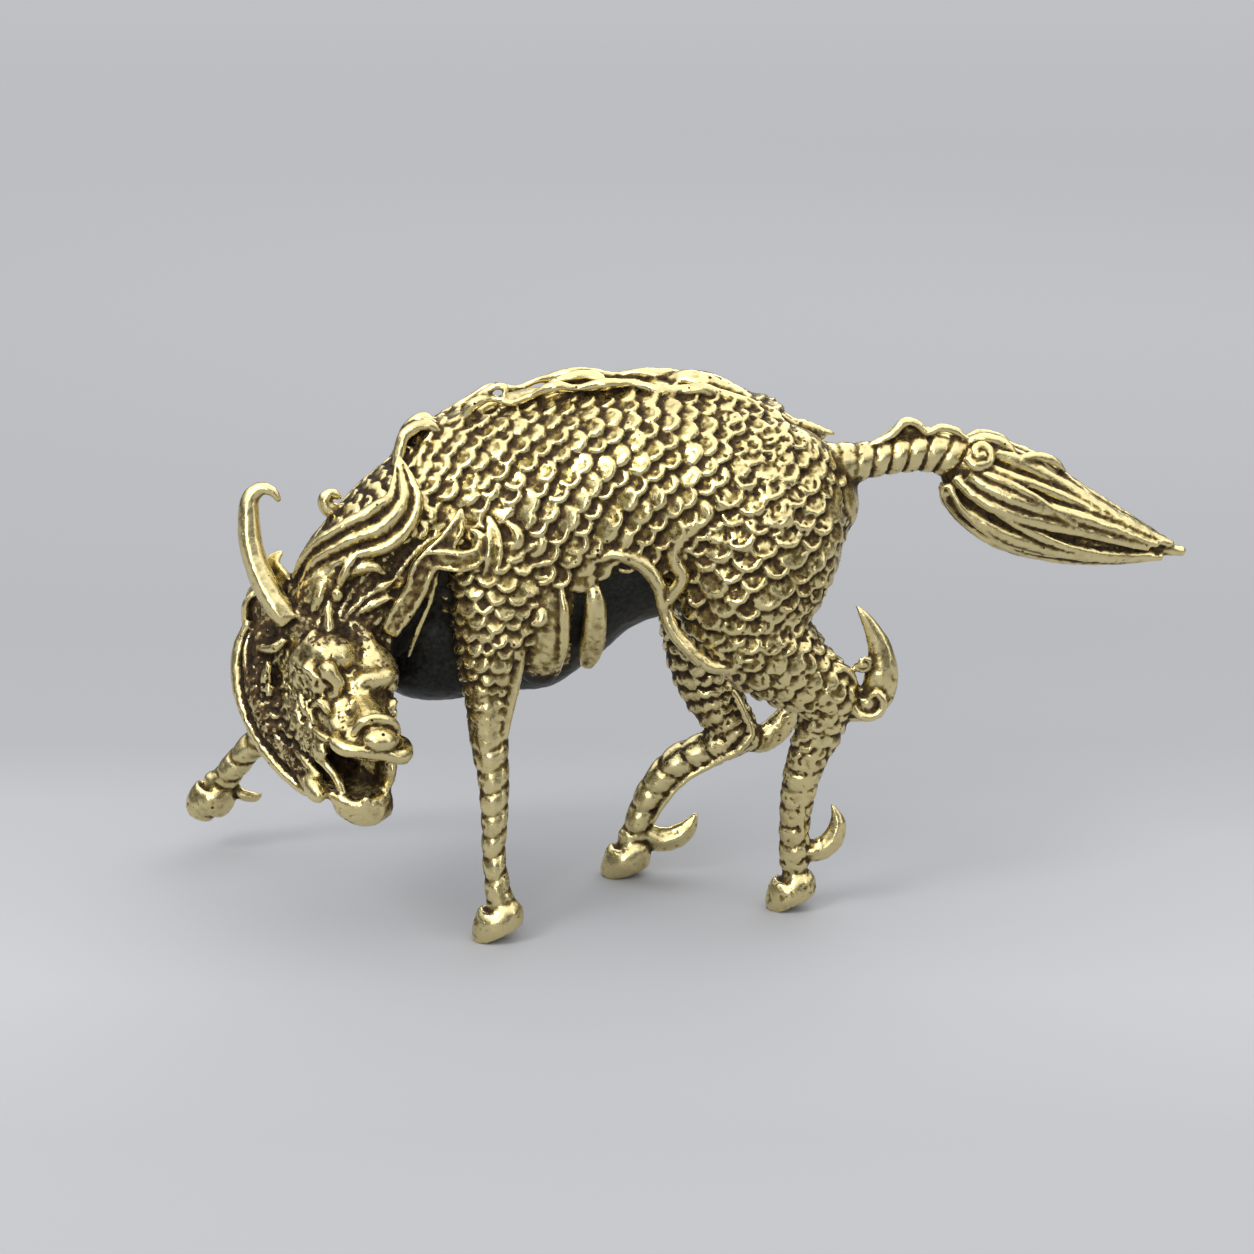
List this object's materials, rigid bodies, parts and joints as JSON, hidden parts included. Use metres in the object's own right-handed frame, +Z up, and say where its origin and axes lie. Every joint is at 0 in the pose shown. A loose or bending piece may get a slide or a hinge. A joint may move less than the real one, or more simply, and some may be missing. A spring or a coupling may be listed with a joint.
{
  "type": "qilin figure",
  "caption": "Small cast brass qilin: a striding, scaled, hoofed beast with turned head, open mouth, horn, curled mane, ridged back, hooked legs and a fluted tail held out level.",
  "frame": {"origin": "on the ground, under the middle of the figure's box in plan", "axes": "+X toward the tail, so the beast walks toward -X, +Y to its right side, +Z up; its head is turned to its left, toward -Y"},
  "size_m": [0.093, 0.0328, 0.0488],
  "materials": {
    "brass": "rubbed cast brass, bright on the high places, with near black patina in the recesses and small casting pits"
  },
  "bodies": {
    "root": {"qilin_figure": "brass"}
  },
  "joints": []
}
